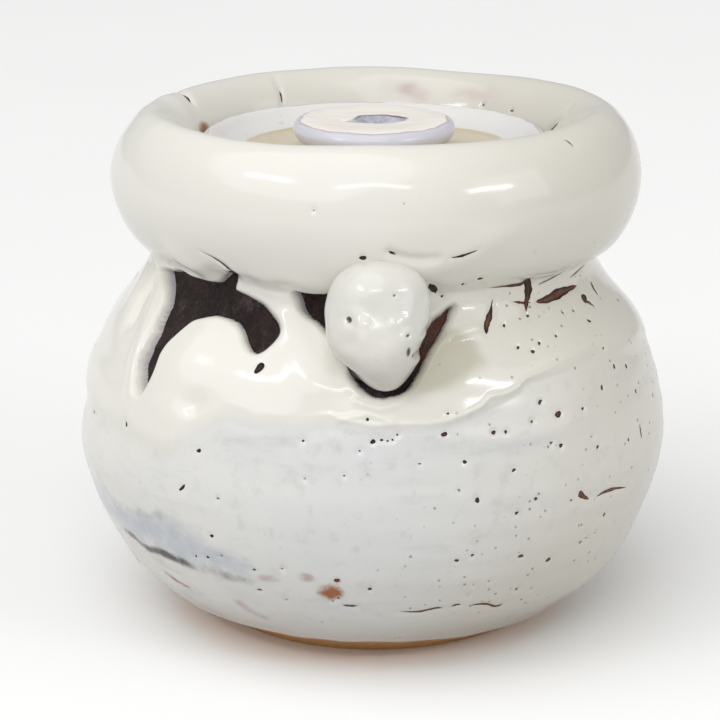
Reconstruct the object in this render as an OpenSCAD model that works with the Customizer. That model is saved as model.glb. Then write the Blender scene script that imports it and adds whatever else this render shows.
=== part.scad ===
// Fresh water jar with a rolled rim, a sunk lid and a crawled white glaze.
// Millimetres, +Z up. The origin is the centre of the foot on the table, and the front faces -Y.

/* [Foot] */
// Radius of the foot where it meets the table
foot_r = 56; // [50:0.5:60]
// Width of the foot's standing band
foot_w = 11; // [6:1:16]
// Height of the hollow inside the foot
foot_h = 3.5; // [2:0.5:6]
// Bevel on the foot's lower edges
foot_bevel = 0.8; // [0.3:0.1:1.5]

/* [Body] */
// Radius where the glaze ends above the bare foot
hem_r = 71.5; // [68:0.5:75]
// Height of the glaze's end above the foot
hem_z = 5.5; // [4:0.5:8]
// Radius of the haunch, low on the body
haunch_r = 89; // [85:0.5:92]
// Height of the haunch above the foot
haunch_z = 21; // [17:0.5:25]
// Greatest radius of the body, over the glaze
belly_r = 100; // [94:0.5:110]
// Height of the greatest radius above the foot
belly_z = 59.5; // [54:0.5:66]
// Radius of the shoulder
shoulder_r = 91; // [86:0.5:94]
// Height of the shoulder above the foot
shoulder_z = 94.5; // [90:0.5:99]
// Radius of the neck, over the glaze
neck_r = 75; // [71:0.5:79]
// Height of the neck above the foot
neck_z = 117.5; // [113:0.5:123]
// Thickness of the clay wall
wall_t = 7; // [5:0.5:9]
// Thickness of the clay base
base_t = 8; // [6:0.5:11]

/* [Rim] */
// Height from the narrowest neck up to the roll
rim_rise = 7; // [4:0.5:10]
// Height of the rolled rim, over the glaze
rim_h = 45; // [38:0.5:52]
// Width of the rolled rim, over the glaze
rim_w = 27; // [23:0.5:32]
// Sharpness of the roll's section, 1 for a plain ellipse
rim_point = 1.12; // [1:0.02:1.2]
// Height of the neck wall inside the roll
tenon_h = 8; // [5:0.5:11]

/* [Glaze] */
// Thickness of the coat on the body
body_coat = 2; // [1.2:0.1:3]
// Thickness of the coat on the roll
rim_coat = 2.2; // [1.2:0.1:3]
// Thickness of the coat on the lugs
lug_coat = 2; // [1.2:0.1:3]
// Thickness of the lining
lining = 1; // [0.5:0.1:1.6]
// Thickness of the coat on the lid and the knob
lid_coat = 1.2; // [0.8:0.1:1.6]

/* [Lugs] */
// Radius of the lug's broad upper part, clay only
lug_r = 14; // [11:0.5:17]
// Height of the lug above its middle, clay only
lug_up = 15.5; // [12:0.5:18]
// Length of the lug below its middle, clay only
lug_down = 21; // [18:0.5:24]
// Radius of the lug's lower lobe, clay only
lobe_r = 9.5; // [7:0.5:11]
// Distance of the lug's middle line out from the neck
lug_out = 10; // [7:0.5:13]
// Height of the lug's middle above the neck's narrowest place
lug_rise = 1.5; // [-2:0.5:4]

/* [Lid] */
// Depth of the lid's seat below the rim's crest
seat_drop = 18; // [15:0.5:22]
// Width of the seat that the lid lies on
seat_w = 8.5; // [6:0.5:12]
// Thickness of the seat at its lip
seat_t = 5; // [3.5:0.5:7]
// Gap between the lid and its seat
seat_gap = 0.3; // [0.2:0.1:0.6]
// Gap between the lid's edge and the mouth
mouth_gap = 4; // [2:0.5:6]
// Height of the lid's edge
lid_edge_h = 8.7; // [7.5:0.1:11]
// Rounding of the lid's edge
lid_round = 2; // [1.2:0.1:2.5]
// Height of the lid's bare edge under the coat
lid_bare = 2; // [1:0.1:3]
// Depth of the lid's dished well
well_depth = 5.8; // [4.5:0.1:7]
// Width of the lid's sloping margin round the well
margin_w = 15; // [12:0.5:20]
// Depth of the locating boss under the lid
boss_h = 4; // [2.5:0.1:6]
// Gap between the boss and the seat's lip
boss_gap = 1.5; // [0.8:0.1:3]

/* [Knob] */
// Radius of the knob at its widest
knob_r = 27; // [25:0.2:30]
// Radius of the knob's foot on the lid
knob_foot_r = 22; // [18:0.5:24]
// Height of the knob above the well
knob_h = 9.8; // [8:0.1:14]
// Rounding of the knob's upper edge
knob_round = 2; // [1.2:0.1:2.4]
// Radius of the hollow in the knob's top
dimple_r = 9; // [6:0.5:12]
// Depth of the hollow in the knob's top
dimple_d = 2; // [1:0.1:3]

/* [Hidden] */
$fn = 128;

clay_brown = [0.2, 0.14, 0.12];
clay_tan = [0.72, 0.53, 0.36];
glaze_white = [0.9, 0.89, 0.84];
glaze_cool = [0.86, 0.87, 0.89];

// Steps between two points of a smooth profile, and round the roll's section
span_steps = 4;
roll_steps = 44;

neck_top = foot_h + neck_z + rim_rise;
wall_top = neck_top + tenon_h;
neck_clay_r = neck_r - body_coat;
roll_z = neck_top + rim_h / 2;
crest_z = neck_top + rim_h;
seat_z = crest_z - seat_drop;
mouth_r = neck_r - rim_w / 2;
lid_r = mouth_r - mouth_gap;
seat_r = lid_r - seat_w;
lid_z = seat_z + seat_gap;
lid_top = lid_z + lid_edge_h;
well_z = lid_top - well_depth;
knob_top = well_z + knob_h;
knob_waist = well_z + lid_coat + (knob_h - lid_coat) / 4;
lug_z = foot_h + neck_z + lug_rise;
lug_y = neck_r + lug_out;

// Smooth curve through points: each span is a cubic with chord-length tangents
function lean(p, i) =
    let (a = max(i - 1, 0), b = min(i + 1, len(p) - 1))
    (p[b] - p[a]) / (norm(p[b] - p[i]) + norm(p[i] - p[a]));
function on_span(p, i, t) =
    let (d = norm(p[i + 1] - p[i]), u = 1 - t)
    p[i] * u * u * (1 + 2 * t) + p[i + 1] * t * t * (1 + 2 * u)
    + lean(p, i) * d * t * u * u - lean(p, i + 1) * d * t * t * u;
function smooth(p) =
    [for (i = [0 : len(p) - 2], k = [0 : span_steps - 1]) on_span(p, i, k / span_steps), p[len(p) - 1]];

// The same curve moved to its left by d: inwards for a profile that climbs the outside
function inset(c, d) =
    [for (i = [0 : len(c) - 1])
        let (t = c[min(i + 1, len(c) - 1)] - c[max(i - 1, 0)])
        c[i] + d * [-t[1], t[0]] / norm(t)];
function back(c) = [for (i = [len(c) - 1 : -1 : 0]) c[i]];

// The same curve with its last point, or both ends, set on the axis
function end_on_axis(c) = [for (i = [0 : len(c) - 1]) i == len(c) - 1 ? [0, c[i][1]] : c[i]];
function on_axis(c) = back(end_on_axis(back(end_on_axis(c))));

// Closed smooth outline through points
function ring_span(p, i, t) =
    let (n = len(p), q = [for (k = [-1 : 2]) p[(i + k + n) % n]])
    on_span(q, 1, t);
function ring(p) = [for (i = [0 : len(p) - 1], t = [0, 1 / 3, 2 / 3]) ring_span(p, i, t)];

// Outside of the glazed body, from the hem over the foot up to the roll
body_line = smooth([
    [hem_r, foot_h + hem_z],
    [haunch_r, foot_h + haunch_z],
    [belly_r, foot_h + belly_z],
    [shoulder_r, foot_h + shoulder_z],
    [neck_r, foot_h + neck_z],
    [neck_r, neck_top]]);
clay_line = inset(body_line, body_coat);
room_line = inset(body_line, body_coat + wall_t);
water_line = inset(body_line, body_coat + wall_t + lining);
floor_z = foot_h + base_t;
floor_r = room_line[0][0] - base_t / 2;
// Under side of the clay wall where it beds on the flared foot
bed_line = [[foot_r, foot_h], [clay_line[0][0] - wall_t / 3, clay_line[0][1]]];

// Section of the roll: an oval pulled a little to a point above and below
function roll_line(coat) =
    [for (i = [0 : roll_steps - 1])
        let (c = cos(360 * i / roll_steps), s = sin(360 * i / roll_steps))
        [neck_r + (rim_w / 2 - coat) * sign(c) * pow(abs(c), rim_point),
         roll_z + (rim_h / 2 - coat) * sign(s) * pow(abs(s), rim_point)]];

// Pear-shaped lug, broad above with a smaller lobe hanging below
lug_line = smooth([
    [0, -lug_down],
    [lobe_r * 0.7, 2 - lug_down],
    [lobe_r, 8 - lug_down],
    [lug_r, 0],
    [lug_r * 0.7, lug_up * 0.8],
    [0, lug_up]]);

// Top of the lid over its coat, from the edge to the knob's foot
lid_line = smooth([
    [lid_r, lid_z + lid_bare],
    [lid_r, lid_top - lid_round],
    [lid_r - lid_round, lid_top],
    [lid_r - margin_w / 2, well_z + well_depth * 0.4],
    [lid_r - margin_w, well_z],
    [knob_foot_r - lid_coat, well_z]]);
lid_clay = inset(lid_line, lid_coat);

// Outside of the knob over its coat, from its foot to the middle of its top
knob_line = concat([[knob_foot_r, well_z]], smooth([
    [knob_foot_r, well_z + lid_coat],
    [knob_r - knob_round * 0.8, knob_waist],
    [knob_r, knob_top - knob_round * 1.4],
    [knob_r - knob_round, knob_top],
    [dimple_r, knob_top],
    [dimple_r / 2, knob_top - dimple_d],
    [0, knob_top - dimple_d]]));
knob_clay = end_on_axis(inset(knob_line, lid_coat));

// Bare places where the glaze drew back, as outlines looking at the jar along a direction.
// Each point is a distance sideways and a height from the neck's narrowest place.
arch_at = -42;
arch = [[-23, 4], [-12, 6], [0, 5], [8, 8], [13, 2], [21, -2.5], [28, -8], [24, -13.5],
        [15, -8], [5, -4.5], [-6, -9], [-12, -17], [-12, -29], [-17, -22], [-19, -7]];
gap_at = -12;
gap = [[-8, 8], [-1, 7], [5, 9], [5, -6], [0, -5], [-5, 0]];
collar_at = 0;
collar = [[-9, -15], [-4, -20], [2, -22.5], [8, -21.5], [13, -16], [18, -9], [24, 0], [17, -4], [8, -8]];
wedge_at = 36;
wedge = [[-8, 5.5], [8, 6.5], [8, 2], [5, -4], [3, 2.5], [-7, 4.5]];
leaf_at = 52;
leaf = [[-10, -2.5], [-2, 0], [11, 0.5], [4, -2]];
slit_at = 28;
slit = [[1, 1], [3, -2], [-2, -7.5], [-2, -4]];

// Straight cut from outside through the coat, looking along the direction at
module bare(outline, at) {
    rotate([0, 0, at])
    translate([0, 0, foot_h + neck_z])
    rotate([90, 0, 0])
    translate([0, 0, mouth_r])
    linear_extrude(belly_r)
    polygon(ring(outline));
}

module bare_places() {
    bare(arch, arch_at);
    bare(gap, gap_at);
    bare(collar, collar_at);
    bare(wedge, wedge_at);
    bare(leaf, leaf_at);
    bare(slit, slit_at);
}

module roll(coat) {
    rotate_extrude() polygon(roll_line(coat));
}

module lug_body(coat) {
    translate([0, -lug_y, lug_z])
    rotate_extrude()
    polygon(on_axis(inset(lug_line, -coat)));
}

// Clay body filled solid up to the top of the neck wall
module clay_core() {
    rotate_extrude()
    polygon(concat([[0, foot_h]], bed_line, clay_line,
                   [[neck_clay_r, wall_top], [0, wall_top]]));
}

module lug_clay() {
    difference() {
        lug_body(0);
        clay_core();
        roll(rim_coat);
    }
}

module lug_skin() {
    difference() {
        lug_body(lug_coat);
        lug_body(0);
        clay_core();
        roll(rim_coat);
    }
}

module both_lugs() {
    lug_body(lug_coat);
    rotate([0, 0, 180]) lug_body(lug_coat);
}

module jar_wall() {
    top = len(room_line) - 1;
    color(clay_brown)
    rotate_extrude()
    polygon(concat([[0, foot_h]], bed_line, clay_line,
                   [[neck_clay_r, wall_top], [room_line[top][0], wall_top]],
                   back(room_line), [[floor_r, floor_z], [0, floor_z]]));
}

module foot_ring() {
    color(clay_tan)
    rotate_extrude()
    polygon(concat([[foot_r - foot_w, foot_h], [foot_r - foot_w, foot_bevel], [foot_r - foot_w + foot_bevel, 0],
                    [foot_r - foot_bevel, 0], [foot_r, foot_bevel], clay_line[0]], back(bed_line)));
}

module rolled_rim() {
    color(clay_brown)
    difference() {
        roll(rim_coat);
        cylinder(r = neck_clay_r, h = wall_top);
    }
}

module lid_seat() {
    color(clay_brown)
    difference() {
        rotate_extrude()
        polygon([[seat_r, seat_z], [seat_r, seat_z - seat_t], [mouth_r, seat_z - 2 * seat_t],
                 [neck_r, seat_z - 2 * seat_t], [neck_r, seat_z]]);
        roll(rim_coat);
    }
}

module front_lug() {
    color(clay_brown) lug_clay();
}

module back_lug() {
    color(clay_brown) rotate([0, 0, 180]) lug_clay();
}

module inner_glaze() {
    top = len(room_line) - 1;
    color(glaze_white)
    rotate_extrude()
    polygon(concat([[0, floor_z], [floor_r, floor_z]], room_line,
                   [[room_line[top][0], wall_top], [water_line[top][0], wall_top]],
                   back(water_line), [[floor_r - lining / 2, floor_z + lining], [0, floor_z + lining]]));
}

module body_glaze() {
    color(glaze_cool)
    difference() {
        rotate_extrude()
        polygon(concat(body_line, [[neck_r, neck_top + rim_coat], [neck_clay_r, neck_top + rim_coat]],
                       back(clay_line)));
        both_lugs();
        bare_places();
    }
}

module rim_glaze() {
    color(glaze_white)
    difference() {
        roll(0);
        roll(rim_coat);
        cylinder(r = neck_r, h = seat_z);
        both_lugs();
        bare_places();
    }
}

module front_lug_glaze() {
    color(glaze_white) lug_skin();
}

module back_lug_glaze() {
    color(glaze_white) rotate([0, 0, 180]) lug_skin();
}

module lid_plate() {
    boss_r = seat_r - boss_gap;
    color(clay_brown)
    rotate_extrude()
    polygon(concat([[0, lid_z - boss_h], [boss_r, lid_z - boss_h], [boss_r, lid_z],
                    [lid_r - lid_coat - lid_bare / 2, lid_z], [lid_r - lid_coat, lid_z + lid_bare / 2]],
                   lid_clay, [[0, well_z - lid_coat]]));
}

module lid_knob() {
    color(clay_tan)
    rotate_extrude()
    polygon(concat([[0, well_z - lid_coat], [knob_foot_r - lid_coat, well_z - lid_coat]], knob_clay));
}

module lid_glaze() {
    color(glaze_white)
    rotate_extrude()
    polygon(concat(lid_line, back(lid_clay)));
}

module knob_glaze() {
    color(glaze_cool)
    rotate_extrude()
    polygon(concat(knob_line, back(knob_clay)));
}

jar_wall();
foot_ring();
rolled_rim();
lid_seat();
front_lug();
back_lug();
inner_glaze();
body_glaze();
rim_glaze();
front_lug_glaze();
back_lug_glaze();
lid_plate();
lid_knob();
lid_glaze();
knob_glaze();
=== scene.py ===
import math
import bpy
import numpy as np
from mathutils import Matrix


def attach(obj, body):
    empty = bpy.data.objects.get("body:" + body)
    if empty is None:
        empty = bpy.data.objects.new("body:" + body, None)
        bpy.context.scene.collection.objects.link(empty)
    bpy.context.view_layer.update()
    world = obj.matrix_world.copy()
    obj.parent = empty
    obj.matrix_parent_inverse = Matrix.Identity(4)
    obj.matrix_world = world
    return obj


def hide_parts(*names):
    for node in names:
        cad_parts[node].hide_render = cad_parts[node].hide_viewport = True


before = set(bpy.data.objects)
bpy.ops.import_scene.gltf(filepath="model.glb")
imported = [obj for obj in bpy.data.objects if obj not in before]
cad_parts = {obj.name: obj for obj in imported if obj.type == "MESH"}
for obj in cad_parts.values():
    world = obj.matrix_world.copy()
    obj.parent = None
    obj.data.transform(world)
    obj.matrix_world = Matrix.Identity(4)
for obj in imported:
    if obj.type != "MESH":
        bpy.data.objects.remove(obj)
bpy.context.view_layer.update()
print("frame loaded:", len(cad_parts), "nodes")

mm = 0.001
unroll = math.radians(1) * 80  # mm across the unrolled wall for one degree round the jar


# Wraps a socket, so that shader maths reads as plain expressions
class Wire:
    def __init__(self, tree, socket=None):
        self.tree, self.socket = tree, socket

    # any node: its type, its settings first, then values or links for its sockets
    def add(self, kind, settings=None, sockets=None, out=0):
        made = self.tree.nodes.new("ShaderNode" + kind)
        for key, value in (settings or {}).items():
            setattr(made, key, value)
        for key, value in (sockets or {}).items():
            if isinstance(value, Wire):
                self.tree.links.new(value.socket, made.inputs[key])
            else:
                made.inputs[key].default_value = value
        return Wire(self.tree, made.outputs[out]) if made.outputs else None

    def maths(self, what, a, b):
        return self.add("Math", {"operation": what}, {0: a, 1: b})

    def __add__(self, other):
        return self.maths("ADD", self, other)

    def __sub__(self, other):
        return self.maths("SUBTRACT", self, other)

    def __rsub__(self, other):
        return self.maths("SUBTRACT", other, self)

    def __mul__(self, other):
        return self.maths("MULTIPLY", self, other)

    __radd__, __rmul__ = __add__, __mul__

    # eased 0 to 1 as the value goes from low to high
    def rise(self, low, high):
        return self.add("MapRange", {"interpolation_type": "SMOOTHSTEP"},
                        {"Value": self, "From Min": low, "From Max": high})

    # colour a where the value is 0, colour b where it is 1
    def blend(self, a, b):
        tint = [c if isinstance(c, Wire) else (*c, 1) for c in (a, b)]
        return self.add("Mix", {"data_type": "RGBA"}, {0: self, 6: tint[0], 7: tint[1]}, 2)

    def noise(self, scale, detail=2, rough=0.5):
        return self.add("TexNoise", {}, {"Vector": self, "Scale": scale, "Detail": detail, "Roughness": rough})

    def field(self, name):
        return self.add("Attribute", {"attribute_name": name}, {}, 2)

    def axis(self, k):
        return self.add("SeparateXYZ", {}, {0: self}, k)

    # heights multiplied, so that a pattern comes out flatter or longer
    def squeezed(self, tall):
        return self.add("VectorMath", {"operation": "MULTIPLY"}, {0: self, 1: (1, 1, tall)})


# An empty node material, a pen that adds its nodes, and the object's own coordinates
def startMaterial(name):
    mat = bpy.data.materials.new(name)
    mat.use_nodes = True
    mat.node_tree.nodes.clear()
    pen = Wire(mat.node_tree)
    return mat, pen, pen.add("TexCoord", {}, {}, "Object")


# height is a value for the bump, and depth is how far it stands up in mm
def endMaterial(mat, pen, colour, rough, height=None, depth=0.1, **fixed):
    sockets = {"Base Color": colour, "Roughness": rough}
    if height is not None:
        sockets["Normal"] = pen.add("Bump", {}, {"Height": height, "Distance": depth * mm, "Strength": 1.0})
    sockets.update({key.replace("_", " "): value for key, value in fixed.items()})
    skin = pen.add("BsdfPrincipled", {}, sockets)
    pen.add("OutputMaterial", {}, {"Surface": skin})
    return mat


# Smooth line through points: each span is a cubic whose end slopes follow the neighbours' chord
def softLine(points, steps, closed=False):
    p = np.array(points, float)
    n = len(p)
    at = np.arange(n)
    before = p[at - 1] if closed else p[np.maximum(at - 1, 0)]
    after = p[(at + 1) % n] if closed else p[np.minimum(at + 1, n - 1)]
    reach = np.linalg.norm(after - p, axis=1) + np.linalg.norm(p - before, axis=1)
    lean = (after - before) / reach[:, None]
    i = np.arange(n if closed else n - 1)
    j = (i + 1) % n
    span = np.linalg.norm(p[j] - p[i], axis=1)[:, None, None]
    t = (np.arange(steps) / steps)[None, :, None]
    u = 1 - t
    line = (p[i][:, None] * u * u * (1 + 2 * t) + p[j][:, None] * t * t * (1 + 2 * u)
            + span * t * u * (lean[i][:, None] * u - lean[j][:, None] * t)).reshape(-1, p.shape[1])
    return line if closed else np.vstack([line, p[-1:]])


# Smooth lumps from -1 to 1: a scrambled value at each whole-number corner, eased between the corners
def lumps(p, seed):
    base = np.floor(p).astype(np.int64)
    part = p - base
    part = part * part * (3 - 2 * part)
    total = np.zeros(p.shape[:-1])
    for corner in np.ndindex(2, 2, 2):  # the large numbers below only scramble
        key = ((base + corner) * [73856093, 19349663, 83492791]).sum(-1) + seed * 7919
        key = (key ^ (key >> 13)) * 1274126177 & 0x7fffffff
        key = (key ^ (key >> 15)) & 0xffff
        total += np.prod(np.where(corner, part, 1 - part), axis=-1) * (key / 32767.5 - 1)
    return total


# 0 below low and 1 above high, with an S-shaped cubic between them; low may be the larger one
def ease(x, low, high):
    t = np.clip((x - low) / (high - low), 0, 1)
    return t * t * (3 - 2 * t)


# Distance from places on the unrolled wall to a line; a closed line gives minus inside
def lineGap(u, v, points, closed, far=16.0):
    line = softLine(np.array(points, float) * [unroll, 1], 8, closed)
    tip = np.roll(line, -1, 0) if closed else line[1:]
    tail = line if closed else line[:-1]
    gap = np.full(u.shape, far)
    near = ((u > line[:, 0].min() - far) & (u < line[:, 0].max() + far)
            & (v > line[:, 1].min() - far) & (v < line[:, 1].max() + far))
    spot = np.stack([u[near], v[near]], -1)[:, None]
    way, out = (tip - tail)[None], spot - tail[None]
    t = np.clip((out * way).sum(-1) / (way * way).sum(-1), 0, 1)
    best = np.sqrt(((out - t[..., None] * way) ** 2).sum(-1).min(1))
    if closed:  # a ray to the right crosses the outline an odd number of times from inside
        above = (tail[None, :, 1] > spot[..., 1]) != (tip[None, :, 1] > spot[..., 1])
        rise = np.where(tip[:, 1] == tail[:, 1], 1, tip[:, 1] - tail[:, 1])
        cross = tail[:, 0] + (spot[..., 1] - tail[:, 1]) / rise * (tip[:, 0] - tail[:, 0])
        inside = (above & (spot[..., 0] < cross)).sum(1) % 2 == 1
        best = np.where(inside, -best, best)
    gap[near] = np.minimum(best, far)
    return gap


# A run of glaze: soft round drops in a row along a line, which add up to 1 in the middle and fade at the ends
def dropRow(u, v, points, wide):
    line = softLine(np.array(points, float) * [unroll, 1], 16)
    along = np.r_[0, np.cumsum(np.linalg.norm(np.diff(line, axis=0), axis=1))]
    apart = 0.4 * wide
    at = np.arange(0, along[-1] + apart, apart)
    line = np.stack([np.interp(at, along, line[:, k]) for k in (0, 1)], -1)
    far = 3 * wide
    near = ((u > line[:, 0].min() - far) & (u < line[:, 0].max() + far)
            & (v > line[:, 1].min() - far) & (v < line[:, 1].max() + far))
    off = np.stack([u[near], v[near]], -1)[:, None] - line[None]
    total = np.zeros(u.shape)
    total[near] = np.exp(-(off ** 2).sum(-1) / wide ** 2).sum(1) * apart / (wide * math.sqrt(math.pi))
    return total


# Faces of a grid that closes on itself sideways; a pole is one more point below or above it
def gridFaces(rows, cols, lowPole=False, highPole=False):
    r, c = np.meshgrid(np.arange(rows - 1), np.arange(cols), indexing="ij")
    d = (c + 1) % cols
    quads = np.stack([r * cols + c, r * cols + d, (r + 1) * cols + d, (r + 1) * cols + c], -1).reshape(-1, 4)
    ring, nextUp = np.arange(cols), (np.arange(cols) + 1) % cols
    tris, extra = [], rows * cols
    if lowPole:
        tris.append(np.stack([np.full(cols, extra), nextUp, ring], -1))
        extra += 1
    if highPole:
        last = (rows - 1) * cols
        tris.append(np.stack([last + ring, last + nextUp, np.full(cols, extra)], -1))
    return quads, np.concatenate(tris) if tris else np.zeros((0, 3), int)


# Puts points in mm and faces into a mesh object, with any values kept for its material
def makePiece(name, body, points, quads, tris, mat, replaced=(), normals=None, fields=None):
    mesh = bpy.data.meshes.new(name)
    mesh.vertices.add(len(points))
    mesh.vertices.foreach_set("co", (points * mm).astype(np.float32).ravel())
    mesh.loops.add(quads.size + tris.size)
    mesh.loops.foreach_set("vertex_index", np.concatenate([quads.ravel(), tris.ravel()]).astype(np.int32))
    mesh.polygons.add(len(quads) + len(tris))
    starts = np.concatenate([np.arange(len(quads)) * 4, quads.size + np.arange(len(tris)) * 3])
    mesh.polygons.foreach_set("loop_start", starts.astype(np.int32))
    mesh.update(calc_edges=True)
    mesh.validate()
    mesh.shade_smooth()
    if normals is not None:
        mesh.normals_split_custom_set_from_vertices(normals.tolist())
    for key, value in (fields or {}).items():
        mesh.attributes.new(key, "FLOAT", "POINT").data.foreach_set("value", value.astype(np.float32).ravel())
    mesh.materials.append(mat)
    piece = bpy.data.objects.new(name, mesh)
    bpy.context.scene.collection.objects.link(piece)
    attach(piece, body)
    if replaced:
        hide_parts(*replaced)


# The jar's outside as one line of radius and height, by its length s up from the hem
wall = {
    "body": [(63, 3.5), (71.5, 9), (89, 24.5), (100, 63), (91, 98), (75, 121), (75, 128)],
    "rimRadius": 75, "rimMiddle": 150.5, "rimWide": 13.5, "rimTall": 22.5, "rimPoint": 1.12,
    "rimEnd": 194,  # degrees round the roll's oval, from straight out
    "crease": 2.0,  # mm over which the crease under the roll is rounded
    "step": 0.25,   # mm from one point of the line to the next
    "crest": 185,   # mm up the line to the rim's top
}


# The body's smooth curve and then the roll's oval, at even steps, averaged over a few mm
def wallLine(w):
    turn = np.radians(np.linspace(-90, w["rimEnd"], 400))[1:]
    c, s = np.cos(turn), np.sin(turn)
    oval = np.stack([w["rimRadius"] + w["rimWide"] * np.sign(c) * abs(c) ** w["rimPoint"],
                     w["rimMiddle"] + w["rimTall"] * np.sign(s) * abs(s) ** w["rimPoint"]], -1)
    line = np.vstack([softLine(w["body"], 40), oval])
    along = np.r_[0, np.cumsum(np.linalg.norm(np.diff(line, axis=0), axis=1))]
    even = np.arange(0, along[-1], w["step"])
    half = round(5 * w["crease"] / w["step"])
    weight = np.exp(-0.5 * (np.arange(-half, half + 1) * w["step"] / w["crease"]) ** 2)
    soft = []
    for k in (0, 1):
        v = np.interp(even, along, line[:, k])
        v = np.r_[2 * v[0] - v[half:0:-1], v, 2 * v[-1] - v[-2:-half - 2:-1]]
        soft.append(np.convolve(v, weight / weight.sum(), "valid"))
    soft = np.stack(soft, -1)
    along = np.r_[0, np.cumsum(np.linalg.norm(np.diff(soft, axis=0), axis=1))]
    slope = np.gradient(soft, along, axis=0)
    return along, soft, np.stack([slope[:, 1], -slope[:, 0]], -1)


wallS, wallRZ, wallOut = wallLine(wall)


# A place on the wall: degrees from the front towards +X, length up the wall, and mm out from it
def onWall(a, s, lift):
    r, z, outR, outZ = [np.interp(s, wallS, v) for v in (*wallRZ.T, *wallOut.T)]
    turn = np.radians(a)
    r = r + outR * lift
    return np.stack([r * np.sin(turn), -r * np.cos(turn), z + outZ * lift], -1)


# Where the glaze drew back and left the clay bare: outlines of (degrees, length up the wall)
bare = {
    "arch": [(-64.5, 141), (-60, 142), (-54, 143.5), (-50.5, 142.5), (-46, 142.5), (-41, 143), (-39, 144.5),
             (-37, 147), (-34, 150.5), (-33.2, 148), (-35.5, 144), (-36, 142), (-34.5, 141), (-30.7, 139.8), (-27, 138),
             (-23.5, 134.4), (-22, 131.7), (-22, 129), (-23.2, 126), (-25.3, 123), (-27.5, 123.8), (-29, 126.2),
             (-31.3, 130.2), (-33.8, 132.2), (-37, 133.2), (-40, 132.8), (-42.5, 131.5), (-45.2, 129.7), (-47, 126.3),
             (-48.3, 123), (-49.5, 119.5), (-50, 115.5), (-49.7, 110.5), (-50.2, 106), (-51.5, 102), (-53.5, 106.5),
             (-54.5, 110), (-55, 116), (-55.5, 122), (-56.8, 127.5), (-57.6, 132), (-59.8, 136), (-63, 139)],
    "gap": [(-18.5, 144.5), (-16.5, 144), (-14, 144), (-10.5, 145), (-7, 146), (-6, 140), (-7, 131), (-9.5, 131),
            (-12, 134), (-13.5, 135.5), (-15.5, 137), (-17, 139), (-18, 142)],
    "collar": [(-4, 118.5), (-3, 115), (-1, 112), (1, 110.8), (3.5, 111.3), (6.5, 113.3), (9, 118.3), (11.5, 124.7),
               (15.5, 132), (19, 139), (16.5, 137.5), (13.5, 135), (10, 129), (6, 124), (0, 122)],
}

# Thick runs and folds of glaze, and hollows: line, height in mm, half width in mm
runs = {
    "leftRun": ([(-70, 146), (-65, 138), (-61.5, 129), (-58, 119), (-56, 110), (-54, 101), (-52.5, 93)], 1.3, 3.8),
    "leftValley": ([(-76, 143), (-73, 139), (-71, 134), (-70.5, 128), (-67, 119)], -2.6, 2.6),
    "leftFold": ([(-84, 138), (-79, 133), (-76, 126)], 0.8, 4.0),
    "bridge": ([(-26, 151), (-23.5, 143), (-19.5, 135), (-16, 127), (-13, 119), (-11, 111)], 1.5, 5.5),
    "tongue": ([(-39.5, 127), (-42.5, 119), (-45, 109), (-45.5, 100), (-43, 92)], 1.7, 8),
    "tongueNick": ([(-35.5, 105), (-37, 102)], -1.2, 3),
    "dripLeft": ([(-50, 158), (-46, 152), (-43, 147)], 1.3, 4),
    "dripMiddle": ([(-21, 152), (-14, 149), (-10, 148)], 1.2, 5),
    "swell": ([(24, 141), (21, 130), (19, 119)], 1.1, 8),
    "glint": ([(16.8, 128.6), (19.8, 130), (24, 130.8)], 1.2, 2.1),
    "fold": ([(9, 158), (15, 161), (20.5, 164.5), (28, 170)], 0.9, 5),
    "underLug": ([(-3.6, 109.4), (-1.2, 107.9), (1.2, 107), (3.6, 107.9), (5.2, 108.9)], 0.6, 1.1),
    "ripple": ([(-6.7, 103.2), (-4.3, 104.4), (-2.2, 104.9), (-0.4, 104.9), (1.6, 103.9), (3.9, 102.9)], 0.5, 1.0),
    "lugCrease": ([(2.6, 165.4), (5, 163.6), (8.7, 162.6), (12.9, 162.9)], -1.0, 1.6),
    "pinch": ([(-116, 199), (-114.5, 203), (-113.5, 206), (-112.5, 209)], -0.7, 2.0),
    "pinchLip": ([(-107, 196), (-106, 204), (-105, 212)], 0.35, 5),
    "innerCrease": ([(-149.8, 204), (-149.6, 210), (-149.4, 217)], -0.5, 1.6),
    "rightCrease": ([(102, 208), (104, 213), (109, 219)], -0.9, 1.8),
}

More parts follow.
